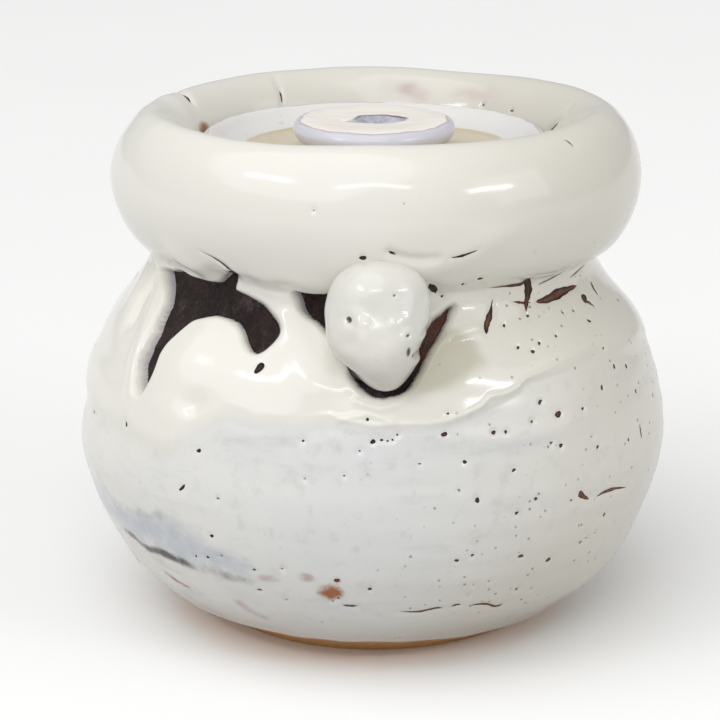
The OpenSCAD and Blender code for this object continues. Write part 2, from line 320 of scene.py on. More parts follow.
# Pinholes: degrees, length up the wall, radius in mm, stretch, tilt in degrees
pits = [
    (32.2, 122.9, 0.5, 1.2, 30), (35.4, 120.7, 0.6, 1.2, 20), (37.9, 122.9, 0.5, 1.2, 40), (30.8, 130.9, 0.5, 1, 0),
    (38.3, 132.7, 0.5, 1.1, 0), (43.3, 123.9, 0.45, 1, 0), (49.4, 130.7, 0.35, 1, 0), (53.5, 130.2, 0.4, 1, 0),
    (57.1, 125.2, 0.6, 1.5, -40), (56.5, 115.2, 0.4, 1, 0), (58.3, 108.2, 0.6, 1.3, 80), (63.3, 106.2, 0.55, 1.3, 70),
    (51.3, 103.7, 0.6, 1.3, 70), (64, 97.2, 0.5, 1.3, 80), (66.7, 98.9, 0.3, 1, 0), (33.9, 104.7, 0.6, 1.4, 60),
    (37.6, 99.7, 1.0, 1.05, 0), (44.2, 99.4, 0.45, 1, 0), (31.2, 99.2, 0.4, 1, 0), (22.8, 97.7, 0.6, 1.2, 80),
    (25.3, 97.4, 0.45, 1.2, 60), (34.8, 91.4, 0.45, 1.1, 60), (37, 89.9, 0.6, 1.2, 20), (45.2, 89.7, 0.35, 1, 0),
    (46.4, 86, 0.5, 1.1, 60), (56.7, 84, 0.45, 1.2, 80), (13.1, 98.7, 0.75, 1.1, 0), (16.6, 89.7, 0.55, 1.1, 0),
    (26.1, 85.2, 0.5, 1.2, 30), (18.7, 77.2, 0.65, 1.4, 80), (30.5, 74.7, 0.5, 1.2, 60), (26.6, 71, 0.5, 1.1, 40),
    (15.3, 81, 0.4, 1, 0), (8.2, 90.2, 0.35, 1, 0), (-1.2, 103.9, 0.45, 1, 0), (-0.2, 97.2, 0.7, 1, 0),
    (1.4, 97.7, 0.4, 1, 0), (2.5, 97.4, 0.3, 1, 0), (3.4, 97.7, 0.3, 1, 0), (4.3, 99.2, 0.3, 1, 0),
    (-2.6, 94.4, 0.3, 1, 0), (-5.3, 86.7, 0.3, 1, 0), (14, 104.9, 0.35, 1, 0), (39, 71, 0.4, 1, 0),
    (49.8, 61, 0.5, 1.4, 60), (44.5, 57, 0.3, 1, 0), (48, 55, 0.3, 1, 0), (45.6, 54.2, 0.35, 1, 0),
    (44.1, 53.2, 0.45, 1.2, 40), (18.4, 58, 0.45, 1, 0), (15.4, 56.7, 0.55, 1.1, 0), (28.7, 54.7, 0.7, 1.2, 20),
    (35.9, 50.2, 0.7, 1.4, 50), (22.8, 46.2, 0.3, 1, 0), (19.7, 45.7, 0.3, 1, 0), (30.2, 39.7, 0.45, 1, 0),
    (34.2, 38.2, 0.35, 1, 0), (18.9, 40.7, 0.3, 1, 0), (-53.6, 90.4, 0.5, 1.8, 80), (-34, 89.2, 0.6, 1.3, 60),
    (-37.2, 76.2, 0.6, 2.4, 50), (-29.2, 75.2, 0.4, 1, 0), (-31.3, 61.5, 0.6, 1, 0), (-33.4, 52.5, 0.45, 1.2, 0),
    (-29.9, 54.5, 0.4, 1, 0), (-23.2, 51.2, 0.45, 1, 0), (-23.1, 42.5, 0.45, 1.6, 10), (-17.8, 39.2, 0.3, 1.3, 0),
    (-0.8, 46.7, 0.55, 1.1, 0), (-7, 50, 0.7, 1.2, 0), (-13.1, 96.7, 0.35, 1, 0), (-12.4, 85.2, 0.35, 1, 0),
    (16.2, 143.2, 0.4, 1.3, 60), (20.2, 149.7, 0.5, 1.3, 80), (23.7, 152.2, 0.6, 1.6, 0), (-2.2, 163.3, 0.75, 1.5, 15),
    (-23.7, 117.6, 1.35, 1.35, 62), (60.8, 132.5, 1.5, 1.25, 10), (-8.2, 40.5, 0.35, 1.3, 0), (-7, 42, 0.4, 1, 0),
    (-17.4, 53, 0.3, 1, 0), (-36.5, 51.5, 0.35, 1.6, 80), (-12, 178, 0.22, 1, 0), (143, 215, 0.5, 1.4, 0),
    (131, 215.5, 0.5, 2, 0),
]
# The sides and the back get pinholes by chance
pitChance = {"seed": 7, "count": 80, "stretch": 1.2, "degrees": (72, 295), "up": (30, 138), "size": (0.25, 0.6)}
scatter = np.random.default_rng(pitChance["seed"])
deg, up, size = [scatter.uniform(*pitChance[key], pitChance["count"]) for key in ("degrees", "up", "size")]
deg = (deg + 180) % 360 - 180
pits += list(zip(deg, up, size, np.full(len(deg), pitChance["stretch"]), deg))

# Slits and hairline cracks: points, the greatest half width in mm, and where along it that is
cracks = [
    ([(12.2, 151.5), (13.4, 148.5), (14.6, 144.6)], 1.2, 0.5),
    ([(28.3, 144.9), (32.7, 144.5), (37.9, 144.3), (40.3, 145.2)], 0.65, 0.65),
    ([(39.2, 146.3), (40.2, 142), (40, 139), (39.1, 136.7), (38.3, 134.2)], 1.5, 0.22),
    ([(42.4, 136.5), (45.9, 136.4), (51, 137.2), (55.6, 137.4), (60.2, 137.3)], 1.45, 0.45),
    ([(29.5, 140), (28.6, 136.7), (27.3, 133.9), (26, 131.2), (25.5, 128.8)], 1.0, 0.62),
    ([(60.5, 132), (62, 130.4), (63.4, 128.4)], 0.5, 0.3), ([(41.3, 73.4), (41.6, 71.8), (43.8, 69.4)], 0.85, 0.4),
    ([(-40, 159.5), (-37.5, 158), (-35.6, 156), (-34.2, 153.5), (-33.6, 151)], 0.4, 0.7),
    ([(15.6, 163.1), (17.7, 163.6), (20.8, 165.1)], 0.35, 0.5), ([(2.9, 165.2), (4.4, 164)], 0.4, 0.5),
    ([(35.2, 138.2), (37.4, 137.4), (40.7, 136.8)], 0.4, 0.5), ([(68.7, 135.9), (68.3, 133.9), (69, 130.7)], 0.55, 0.4),
    ([(43.6, 142.3), (48.3, 143.4), (52.1, 144.7), (55.6, 146.1)], 0.22, 0.3),
    ([(57, 141), (61, 142), (66, 143.4)], 0.22, 0.5),
    ([(46, 69.4), (48, 70), (51.5, 69.6), (56, 67.8)], 0.5, 0.5), ([(62.2, 86.7), (62.1, 84), (62.4, 81.7)], 0.25, 0.5),
    ([(5.3, 35.5), (9.4, 35.2), (12.9, 36.4), (14.2, 36)], 0.42, 0.5),
    ([(16, 36.2), (17, 37.1), (17.9, 36.7)], 0.4, 0.5),
    ([(20.1, 35.5), (21.9, 35.7), (24.1, 35), (26.3, 33), (27.4, 33), (28.1, 33.7)], 0.42, 0.5),
    ([(-6.3, 38.7), (-4.7, 38.7), (-3.3, 38.7)], 0.45, 0.5),
    ([(-113.6, 203), (-113.7, 205.5), (-112.8, 208.5)], 0.6, 0.5),
    ([(-149.7, 210.5), (-149.7, 212.5), (-149.5, 215)], 0.4, 0.5),
    ([(105, 214.5), (107, 217), (109.2, 219.5)], 0.4, 0.5), ([(48.2, 195.5), (49.2, 192.4)], 0.2, 0.5),
]

glaze = {
    "columns": 840, "bodyCoat": 2.0, "rimCoat": 2.2,
    "crowd": 0.38,   # how far the columns are drawn together at the front
    "lip": 2.3,      # mm over which an edge of the coat rounds down to the clay
    "bead": 0.15,    # mm that the coat swells just behind a bare place
    "step": 1.0,     # mm that the thick upper coat stands over the thin one
    "lumps": [(0.45, 34, 11), (0.16, 12, 12)],  # height, size, seed
    "least": 0.45,   # mm of coat left where it is thinnest
    "dimple": 0.45,  # mm that the coat dips round a pinhole
    "roll": (0.8, 0.4, 0.3),    # the step's rolled edge: half width, height, and what is added right of the lug
    "rings": (9.5, 0.07),       # throwing rings: mm from one to the next, height
    "hemThin": (31, 14, 1.15),  # thin where the wall turns in to the foot: middle, half width, mm
    # Fuller and thinner places: degrees, half width in degrees, length up the wall, half height, mm out
    "places": [(-84, 34, 31, 14, -0.5), (-84, 34, 70, 8, 1.0), (-84, 34, 86, 5, -0.9), (-84, 34, 98, 7, 1.1),
               (86, 34, 50, 14, -1.3), (86, 34, 127, 11, -1.2), (-104, 26, 193, 13, -1.6)],
    "stepLine": [(-180, 98), (-120, 92), (-80, 84), (-58, 86), (-48, 85), (-40, 86), (-35.5, 94), (-30, 100.5),
                 (-22, 100), (-8, 100.9), (-4, 100), (1, 100), (9.5, 100.4), (17, 101.2), (20, 103.7), (22.5, 105.7),
                 (25.5, 107), (31, 110), (37, 112), (43.5, 113), (54, 114), (66, 110.5), (90, 104), (120, 100),
                 (180, 98)],
    "stepSoft": [(-180, 7), (-60, 7), (-25, 5), (0, 3), (14, 2.2), (34, 2.2), (60, 5), (180, 7)],
    "hemLine": [(-180, 7), (-60, 9), (-31, 10), (0, 10), (12, 8.5), (30, 5), (60, 4), (120, 6), (180, 7)],
    "rows": {"belly": (0, 96, 112), "shoulder": (96, 146, 116), "rim": (146, 224.6, 110)},  # from, to, rows
}


# How far the coat stands out from the plain wall, in mm, and the values that its colour follows.
# It is the thick coat's step, lumps, rings, runs and dimples, all rounded down to the clay at each bare outline.
def coat(a, s):
    u, spot = a * unroll, onWall(a, s, 0.0)
    onRim = ease(s, 143, 150)
    clay = glaze["bodyCoat"] + (glaze["rimCoat"] - glaze["bodyCoat"]) * onRim
    stepAt = np.interp(a, *np.array(glaze["stepLine"]).T) + 1.2 * lumps(spot / 7, 3)
    soft = np.interp(a, *np.array(glaze["stepSoft"]).T)
    thick = ease((s - stepAt) / soft, -0.3, 1.0)
    lift = glaze["step"] * thick * (1 - 0.4 * onRim)
    for high, size, seed in glaze["lumps"]:
        lift = lift + high * lumps(spot / size, seed)
    lift = lift + 0.8 * onRim * lumps(spot / [40, 40, 26], 13) * ease(214 - s, 0, 12)
    lift = lift + onRim * ease(205 - s, 0, 14) * (0.8 * np.sin(np.radians(a)) - 0.4)  # the roll leans to the right
    apart, high = glaze["rings"]
    rings = np.sin(s * 2 * np.pi / apart + a * 0.035 + 0.8 * lumps(spot / 40, 14))
    lift = lift + high * rings * ease(s, 20, 50) * ease(118 - s, 0, 14) * (0.4 + 0.6 * ease(a, -20, 25))
    wide, high, more = glaze["roll"]
    rolled = np.exp(-((s - stepAt - 0.9 * soft) / wide) ** 2) * ease(a, -14, -4) * ease(-a, -48, -30)
    lift = lift + (high + more * np.exp(-((a - 22) / 6) ** 2)) * rolled
    middle, wide, thinner = glaze["hemThin"]
    lift = lift - thinner * np.exp(-((s - middle) / wide) ** 2)
    for deg, wide, up, tall, out in glaze["places"]:
        lift = lift + out * np.exp(-((a - deg) / wide) ** 2 - ((s - up) / tall) ** 2)
    for line, height, wide in runs.values():
        lift = lift + height * dropRow(u, s, line, wide)
    for deg, up, size, *_ in pits:
        gap = np.hypot((a - deg) * unroll, s - up)
        lift = lift - glaze["dimple"] * np.exp(-(gap / (0.8 + size)) ** 2)
        lift = lift + min(0.15 * size, 0.1) * np.exp(-((gap - size - 0.9) / 0.5) ** 2)  # a low bank round it
    for line, half, _ in cracks:
        gap = lineGap(u, s, line, False, 5.0)
        lift = lift - (0.2 + 0.3 * half) * np.exp(-(gap / (0.45 + half)) ** 2)
    lift = np.maximum(lift, glaze["least"] - clay)
    hem = np.interp(a, *np.array(glaze["hemLine"]).T) + 0.8 * lumps(spot / 9, 15)
    edge = s - hem
    for outline in bare.values():
        edge = np.minimum(edge, lineGap(u, s, outline, True))
    edge = edge + 0.25 * lumps(spot / 1.6, 17) * np.exp(-(edge / 0.8) ** 2)  # a slightly ragged edge on the clay
    k = np.clip(edge / glaze["lip"], 0, 1)
    rounded = np.sqrt(1 - (1 - k) ** 2)
    bead = glaze["bead"] * k * np.exp(-((edge - glaze["lip"]) / 2.0) ** 2)
    over = -clay + (clay + lift + bead) * rounded
    under = -clay + np.maximum(1.3 * edge, -3.0)
    fields = {"thick": thick, "thin": np.exp(-np.maximum(edge, 0) / 0.45), "up": s, "side": np.sin(np.radians(a))}
    return np.where(edge > 0, over, under), fields


# A soft patch on the wall: e to the minus cube of the distance, counted in its half widths and half heights
def blob(a, s, deg, up, wide, tall):
    return np.exp(-(((a - deg) * unroll / wide) ** 2 + ((s - up) / tall) ** 2) ** 1.5)


# Marks in the glaze, on the unrolled wall: lines, one outline, and spots with their half width and half height
stain = {
    "streak": [(-60, 49), (-56.4, 48.6), (-52.4, 46.7), (-48, 47.8), (-43.8, 47.8), (-41.3, 47.3), (-37.3, 46.2),
               (-33.7, 48), (-30, 46.5), (-25, 46.2)],
    "olive": [(10, 131), (17, 133), (20, 130), (23, 125), (24.5, 119), (21.5, 115.5), (17, 113), (12, 110.5),
              (6, 110), (6, 117), (8, 124)],
    "scuff": [(-49.5, 37.2), (-47.1, 35.5), (-43.4, 34.1)],
    "smudge": [(-29.2, 33.7), (-27.4, 30), (-24.9, 27.2)],
    "rust": (-8.4, 44.9, 3.8, 3.7), "rustDrop": (-6.9, 49.7, 1.4, 1.1), "rustInside": (-111, 218.3, 5.2, 2.5),
    "flush": [(-20.5, 48.5, 3.6, 1.7), (-12.9, 50.5, 2.4, 2.0)],
    "flushBack": [(171, 211, 13, 40), (146, 211, 13, 40)],
}


# How cool, dark, olive, rusty or flushed with purple the coat is, each from 0 to about 1.
# Bands and lines are bell curves of the distance, spots are blobs, and lumps make them all uneven.
def stains(a, s):
    u, spot = a * unroll, onWall(a, s, 0.0)
    wave = 2.0 * lumps(spot / 9, 21) + 1.2 * lumps(spot / 4, 22)
    ragged = 1 + 0.3 * lumps(spot / 1.9, 23) + 0.15 * lumps(spot / 0.8, 24)
    band = np.interp(a, [-100, -62, -53, -45, -36, -30, -22], [58, 55.5, 55, 56, 56, 53, 49])
    wide = np.interp(a, [-62, -45, -34, -26], [7.5, 8.5, 9.0, 5.5])
    cool = np.exp(-((s - band + 1.5 * wave) / wide) ** 2) * ease(a, -125, -65) * ease(-a, 16, 30)
    cool = cool * np.interp(a, [-60, -48, -38, -22], [0.9, 0.95, 0.85, 0.8])
    middle = 0.3 * np.exp(-((s - 93 + wave) / 10) ** 2) * ease(a, -34, -24) * ease(-a, -45, -5)
    behind = 0.5 * np.exp(-((s - 60 + 2 * wave) / 10) ** 2) * ease(abs(a), 120, 150)
    cool = np.maximum(np.maximum(cool, middle), behind)

    faint = np.interp(a, [-60, -52, -46, -41, -37, -33, -29, -24], [0.75, 0.9, 1.0, 0.95, 0.35, 0.48, 0.48, 0.36])
    half = np.interp(a, [-48, -36], [1.9, 3.0])
    dark = faint * np.exp(-((lineGap(u, s, stain["streak"], False, 9.0) + 0.25 * wave) / half) ** 2)
    border = np.exp(-((s - band - wide + 1.5 + wave) / 3.0) ** 2)  # the upper edge of the cool band
    dark = np.maximum(dark, 0.3 * border * ease(a, -70, -54) * ease(-a, 34, 44))
    olive = ease(lineGap(u, s, stain["olive"], True) + 0.8 * wave, 3.8, -5.5)

    rust = blob(a, s, *stain["rust"]) * ragged
    rust = np.maximum(rust, 0.75 * blob(a, s, *stain["rustDrop"]) * ragged)
    rust = np.maximum(rust, 0.75 * ragged * np.exp(-(lineGap(u, s, stain["scuff"], False, 6.0) / 1.1) ** 2))
    rust = np.maximum(rust, 0.85 * blob(a, s, *stain["rustInside"]))

    flush = 0.85 * ragged * np.max([blob(a, s, *place) for place in stain["flush"]], axis=0)
    flush = np.maximum(flush, 0.75 * ragged * np.exp(-(lineGap(u, s, stain["smudge"], False, 6.0) / 2.4) ** 2))
    back = np.exp(-((s - 211 + wave) / 4.5) ** 2) * sum(blob(a, s, *place) for place in stain["flushBack"])
    flush = np.maximum(flush, back * (0.55 + 0.3 * lumps(spot / [6, 6, 9], 25)))
    return {"cool": cool, "dark": dark, "rust": rust, "flush": flush, "olive": olive}


# The skin's grid: columns lie closer together at the front, rows follow the wall
t = np.arange(glaze["columns"]) / glaze["columns"] * 2 - 1
turnLine = 180 * ((1 - glaze["crowd"]) * t + glaze["crowd"] * t ** 3)
rowLine = np.r_[0.0, np.concatenate([np.linspace(low, high, n + 1)[1:] for low, high, n in glaze["rows"].values()])]
gridA, gridS = np.meshgrid(turnLine, rowLine)
skinLift, skinFields = coat(gridA, gridS)
skinFields.update(stains(gridA, gridS))
skinPoints = onWall(gridA, gridS, skinLift)
along = np.roll(skinPoints, -1, 1) - np.roll(skinPoints, 1, 1)
skinNormals = np.cross(along, np.gradient(skinPoints, axis=0))
skinNormals /= np.linalg.norm(skinNormals, axis=-1, keepdims=True)
print("glaze surface worked out:", skinPoints.shape[0], "rows")

glazeColour = {
    "cream": (0.785, 0.768, 0.705), "white": (0.695, 0.698, 0.69),
    # low and lowRight are partly thin glaze and partly painted shade low down and at the right; right is painted shade
    # with a creamier tint
    "low": (0.56, 0.525, 0.465), "lowRight": (0.42, 0.37, 0.305), "right": (0.645, 0.622, 0.545),
    # back is painted shade for the back of the rim
    "ring": (0.58, 0.582, 0.59), "mottle": (0.575, 0.56, 0.525), "back": (0.63, 0.605, 0.545),
    "smear": (0.38, 0.395, 0.43), "cool": (0.50, 0.525, 0.57), "dark": (0.035, 0.034, 0.036),
    "olive": (0.545, 0.52, 0.425), "flush": (0.47, 0.36, 0.34), "rust": (0.30, 0.100, 0.026),
    "lilac": (0.50, 0.46, 0.50), "speck": (0.22, 0.17, 0.15),
}


# Thick white glaze: cream where it is thick, greyer where it is thin, with stains and small dark specks. It is darker
# low down, partly thinner glaze and partly painted shade; painted shade also darkens the right side and the back of the
# rim.
def whiteGlaze(name):
    mat, pen, spot = startMaterial(name)
    g = glazeColour
    side, up, thick, thin = [pen.field(key) for key in ("side", "up", "thick", "thin")]
    cloud, blot, fine = spot.noise(45, 4, 0.6), spot.noise(170, 4, 0.65), spot.noise(400, 3, 0.6)
    streak = spot.squeezed(5).noise(28, 4, 0.6)  # drawn out round the jar, as the throwing rings are
    left, right = 1 - side.rise(-0.95, 0), side.rise(-0.1, 0.8)
    colour = (thick * 0.8 + left * 0.5 + (cloud - 0.5) * 0.9).rise(-0.1, 0.9).blend(g["white"], g["cream"])
    # painted shade: darker and browner low down, partly thin glaze and partly the shade under the belly; at the right
    # this painted shade reaches higher and is darker
    low = 1 - (up + cloud * 14 + streak * 22 - right * 20).rise(20, 84)
    warm = right.blend(g["low"], g["lowRight"])
    colour = (low * (0.7 + side.rise(-0.35, 0.8) * 0.3)).blend(colour, warm)
    # painted shade: the right side, away from the light, is darker, with a creamier tint
    colour = (side.rise(-0.1, 0.95) * 0.85).blend(colour, g["right"])
    ring = (streak - 0.5) * (1 - thick)
    colour = (ring.rise(0.02, 0.3) * 0.7).blend(colour, g["ring"])
    mottle = ((blot - 0.5) * (1 - thick)).rise(0.02, 0.2) * (0.5 - left * 0.38)
    colour = mottle.blend(colour, g["mottle"])
    behind = spot.axis(1).rise(0.0, 0.06) * up.rise(180, 192)
    colour = (behind * 0.6).blend(colour, g["back"])  # painted shade: the back of the rim, facing away from the light, is darker
    smear = spot.squeezed(2.5).noise(75, 4, 0.6).rise(0.5, 0.78)
    haze = left * (1 - up.rise(45, 92)) * 0.45
    colour = (smear * (pen.field("cool") * 0.7 + haze)).blend(colour, g["smear"])
    uneven = {  # what breaks each stain up, and from where to where it comes in
        "cool": (cloud * 0.7 + blot * 2.0 - 0.15, 0.1, 1.35),
        "dark": (blot * 1.7 + fine * 0.35, 0.15, 0.95),
        "olive": (0.35 + cloud * 0.6 + blot * 0.6, 0.05, 1.0),
        "flush": (0.5 + blot * 0.5 + fine * 0.4, 0.05, 1.1),
        "rust": (0.35 + fine * 0.7 + blot * 0.6, 0.1, 1.0),
    }
    for key, (broken, start, full) in uneven.items():
        colour = (pen.field(key) * broken).rise(start, full).blend(colour, g[key])
    colour = (thin * 0.9).rise(0.3, 1.0).blend(colour, g["lilac"])
    cells = pen.add("TexVoronoi", {}, {"Vector": spot, "Scale": 260.0, "Randomness": 1.0})
    spread = side.rise(-0.7, 0.7) * 0.28 + (1 - thick) * 0.06 - up.rise(140, 160) * 0.16
    many = (spot.noise(60, 2) + spread).rise(0.68, 0.86)
    specks = (1 - cells.rise(0.07, 0.17)) * many * 0.75
    colour = specks.blend(colour, g["speck"])
    height = spot.noise(240, 1) * 0.15 + spot.noise(75, 1) + specks * -1.5
    rough = 0.19 + fine * 0.05 - thick * 0.09 + thin * 0.15 + pen.field("rust") * 0.3
    return endMaterial(mat, pen, colour, rough, height, 0.14, Specular_IOR_Level=0.5)


bodyGlaze = whiteGlaze("bodyGlaze")
first = 0
for name, (*_, count) in glaze["rows"].items():
    part = slice(first, first + count + 1)
    rows = skinPoints[part]
    quads, tris = gridFaces(len(rows), glaze["columns"])
    node = "rim_glaze" if name == "rim" else "body_glaze"
    makePiece(name + "Glaze", "jar", rows.reshape(-1, 3), quads, tris, bodyGlaze, (node,),
              skinNormals[part].reshape(-1, 3), {key: value[part] for key, value in skinFields.items()})
    first += count
print("glaze skins made")

# Dark floor of each pinhole, laid in its dimple: a ring of points round a middle one
pitRing = {"sides": 14, "above": 0.05}


def makePits(name, mat):
    deg, up, size, stretch, tilt = np.array(pits, float).T[:, :, None]
    turn = np.linspace(0, 2 * np.pi, pitRing["sides"], endpoint=False)[None]
    wobble = 1 + 0.12 * np.sin(2 * turn + deg) + 0.08 * np.sin(3 * turn + up)
    x, y = size * stretch * wobble * np.cos(turn), size / stretch ** 0.3 * wobble * np.sin(turn)
    lean = np.radians(tilt)
    a = deg + (x * np.cos(lean) - y * np.sin(lean)) / unroll
    s = up + x * np.sin(lean) + y * np.cos(lean)
    a, s = np.hstack([a, deg]), np.hstack([s, up])
    points = onWall(a, s, coat(a, s)[0] + pitRing["above"])
    n = pitRing["sides"]
    ring = np.arange(n)
    fan = np.stack([np.full(n, n), ring, (ring + 1) % n], -1)
    tris = (np.arange(len(pits))[:, None, None] * (n + 1) + fan[None]).reshape(-1, 3)
    # rim is 1 at the pinhole's edge, where its clay gets painted shade
    rim = np.tile(np.r_[np.ones(n), 0.0], len(pits))
    quads = np.zeros((0, 4), int)
    makePiece(name, "jar", points.reshape(-1, 3), quads, tris, mat, fields={"rim": rim})


# Cracks: strips along their lines, five points across, drawn to a point at both ends
def makeCracks(name, mat):
    points, quads, rim, count = [], [], [], 0
    side = np.array([1.0, 0.55, 0.0, -0.55, -1.0])[None]
    n = side.size
    for line, half, widest in cracks:
        path = softLine(line, 12)
        way = np.gradient(path * [unroll, 1], axis=0)
        off = np.stack([-way[:, 1], way[:, 0]], -1) / np.linalg.norm(way, axis=1, keepdims=True)
        along = np.linspace(0, 1, len(path))
        wide = half * (0.06 + np.sin(np.pi * along ** (math.log(0.5) / math.log(widest))) ** 0.8)
        wide = wide * (1 + 0.12 * np.sin(along * 13 + half * 40) + 0.08 * np.sin(along * 29 + half * 70))
        a = path[:, :1] + side * wide[:, None] * off[:, :1] / unroll
        s = path[:, 1:] + side * wide[:, None] * off[:, 1:]
        points.append(onWall(a, s, coat(a, s)[0] + 2 * pitRing["above"]).reshape(-1, 3))
        i = np.arange(len(path) - 1)[:, None] * n + np.arange(n - 1)[None]
        quads.append(count + np.stack([i, i + 1, i + n + 1, i + n], -1).reshape(-1, 4))
        # rim is 1 at the strip's two edges, where its clay gets painted shade
        rim.append(np.tile(abs(side[0]), len(path)))
        count += a.size
    tris, fields = np.zeros((0, 3), int), {"rim": np.concatenate(rim)}
    makePiece(name, "jar", np.vstack(points), np.vstack(quads), tris, mat, fields=fields)


clayColour = {
    "dark": (0.018, 0.011, 0.011), "red": (0.15, 0.062, 0.038), "brown": (0.035, 0.020, 0.018),
    "grey": (0.070, 0.050, 0.054), "tan": (0.82, 0.45, 0.19), "buff": (0.70, 0.37, 0.15), "raw": (0.20, 0.082, 0.046),
}


# Bare fired clay: dark brown in blotches, rusty beside the lug, with scratches and grains, and tan up to a height in mm
def bareClay(name, tanTo):
    mat, pen, spot = startMaterial(name)
    c = clayColour
    x, y, z = [spot.axis(k) for k in range(3)]
    cloud, blotch, grain = spot.noise(70, 4, 0.6), spot.noise(190, 5, 0.65), spot.noise(900, 3, 0.7)
    scratch = spot.squeezed(0.3).noise(420, 4, 0.7)
    rusty = (x * 34 + (cloud - 0.5) * 1.6).rise(0.25, 0.8) * (1 - y.rise(-0.074, -0.062))
    colour = rusty.blend(c["dark"], c["red"])
    colour = (blotch.rise(0.42, 0.62) * (1 - rusty * 0.6)).blend(colour, c["brown"])
    colour = ((scratch + cloud) * 0.5).rise(0.51, 0.62).blend(colour, c["grey"])
    warm = (scratch * 0.5 + grain * 0.5).rise(0.3, 0.65).blend(c["buff"], c["tan"])
    colour = (1 - (z * 1000 + cloud * 4).rise(tanTo, tanTo + 4)).blend(colour, warm)
    height = grain * 0.5 + scratch * 0.8 + blotch * 1.6
    return endMaterial(mat, pen, colour, 0.28 + grain * 0.6, height, 1.5, Specular_IOR_Level=0.22)


# Clay at the bottom of a pinhole or slit: dark at its edge as painted shade from the glaze wall round it, redder in the
# middle, at the right, low down and on the rim
def pitClay(name):
    mat, pen, spot = startMaterial(name)
    c = clayColour
    x, z = spot.axis(0), spot.axis(2)
    red = x * 15 + z.rise(0.155, 0.165) * 2.5 + (1 - z.rise(0.035, 0.05)) * 2.2 + (spot.noise(160, 3) - 0.5) * 3.0
    middle = red.rise(0.0, 1.3).blend(c["brown"], c["raw"])
    # painted shade: the clay darkens towards its edge, under the glaze wall
    colour = (pen.field("rim") + (spot.noise(600, 3) - 0.5) * 0.6).rise(0.15, 0.95).blend(middle, c["dark"])
    rough, height = 0.5 + spot.noise(700, 2) * 0.3, spot.noise(900, 2)
    return endMaterial(mat, pen, colour, rough, height, 0.2, Specular_IOR_Level=0.2)


darkClay = bareClay("darkClay", 7.0)
slitClay = pitClay("slitClay")
makePits("pinholes", slitClay)
makeCracks("cracks", slitClay)
print("pinholes and cracks made")

lug = {
    "rows": 190, "columns": 250,
    "out": 85, "sideways": 1.0,  # its middle line
    "root": 6,       # mm that its back goes into the wall
    "fuller": 0.9,   # mm that the one at the back is wider on each side
    # height, half widths to the left and right, reach to the front, shift to the right
    "outline": [(99.7, 1.0, 1.0, 3.0, 2.4), (101.4, 5.0, 5.0, 9.4, 2.4), (104, 7.8, 7.8, 13.4, 1.9),
                (106.7, 9.6, 10.2, 16.2, 1.2), (109.4, 12.0, 12.2, 18.0, 0.5), (112.1, 14.2, 13.2, 18.9, 0.1),
                (114.8, 15.6, 13.9, 19.0, 0), (117.5, 16.2, 15.3, 18.4, 0), (120.2, 16.4, 16.1, 17.4, 0),
                (122.9, 16.4, 16.3, 16.2, 0), (125.6, 16.1, 16.3, 15.0, 0), (128.3, 15.5, 16.2, 14.0, 0),
                (131, 14.7, 15.7, 13.0, 0), (133.7, 13.4, 14.6, 12.0, 0), (136.4, 11.2, 12.3, 10.4, 0),
                (139.1, 7.2, 7.8, 7.2, 0), (140.4, 1.5, 1.5, 1.5, 0)],
    # sideways, height, depth (minus for a lump), half width
    "hollows": [(-9, 118, 0.9, 2.6), (12.8, 111.8, 1.2, 1.5), (12.6, 108.6, -0.45, 1.5), (15.6, 119.4, 0.5, 1.6),
                (-1, 127, 0.5, 3.0), (1, 119, 0.35, 3.0), (-4.5, 124.5, -0.45, 2.2), (5.5, 124, -0.5, 2.0),
                (9, 125.5, -0.35, 1.6)],
    # sideways, height, half width, half height
    "pits": [(-7.8, 124.7, 0.85, 0.9), (10.5, 115, 0.6, 1.5), (10.2, 120.2, 0.45, 0.45), (12.4, 112.7, 0.5, 0.55),
             (6.2, 132, 0.3, 0.3)],
    # low is partly painted shade for the lug's lower part and partly warm smudges
    "colours": {"white": (0.705, 0.693, 0.645), "low": (0.60, 0.575, 0.52), "blush": (0.58, 0.52, 0.52),
                "pit": (0.05, 0.04, 0.042)},
}


